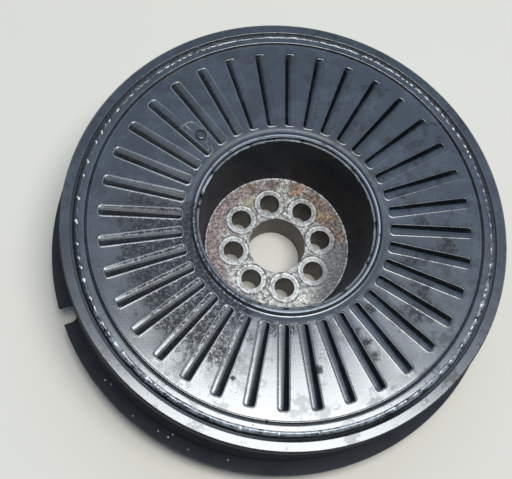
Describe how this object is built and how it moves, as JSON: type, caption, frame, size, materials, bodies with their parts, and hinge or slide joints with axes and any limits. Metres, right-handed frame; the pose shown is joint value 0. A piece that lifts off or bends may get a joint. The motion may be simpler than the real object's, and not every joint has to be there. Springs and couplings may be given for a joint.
{
  "type": "crankshaft belt pulley with torsional damper",
  "caption": "Black-painted crankshaft belt pulley with a sealed torsional damper, a radially slotted front cover, a deep bolted hub and a rear flange.",
  "frame": {"origin": "centre of the hub's rear face, which is the plane the pulley rests on", "axes": "+Z along the shaft axis from the rear face to the slotted front cover, +X through the first bolt hole"},
  "size_m": [0.2024, 0.2024, 0.0538],
  "materials": {
    "hub_steel": "bare turned steel, scratched, with brown rust",
    "housing_paint": "glossy black paint on steel",
    "cover_paint": "glossy black paint on steel, oily and dusty",
    "belt_ring_paint": "glossy black paint on steel",
    "weld_paint": "glossy black paint over a rippled weld",
    "plug_steel": "glossy black paint on steel",
    "ring_iron": "machined grey iron, wet with silicone fluid",
    "band_plastic": "natural bearing plastic",
    "sleeve_rubber": "black rubber"
  },
  "bodies": {
    "pulley": {"hub": "hub_steel", "damper_housing": "housing_paint", "front_cover": "cover_paint", "filler_plug": "plug_steel", "outer_weld_bead": "weld_paint", "inner_weld_bead": "weld_paint", "hub_weld_bead": "weld_paint", "rubber_sleeve": "sleeve_rubber", "belt_ring": "belt_ring_paint"},
    "inertia_mass": {"inertia_ring": "ring_iron", "rear_thrust_band": "band_plastic", "front_thrust_band": "band_plastic", "radial_slide_band": "band_plastic"}
  },
  "joints": [
    {"name": "inertia_ring_spin", "type": "hinge", "parent": "pulley", "child": "inertia_mass", "pos_m": [0, 0, 0.0303], "axis": [0, 0, 1], "continuous": true}
  ]
}
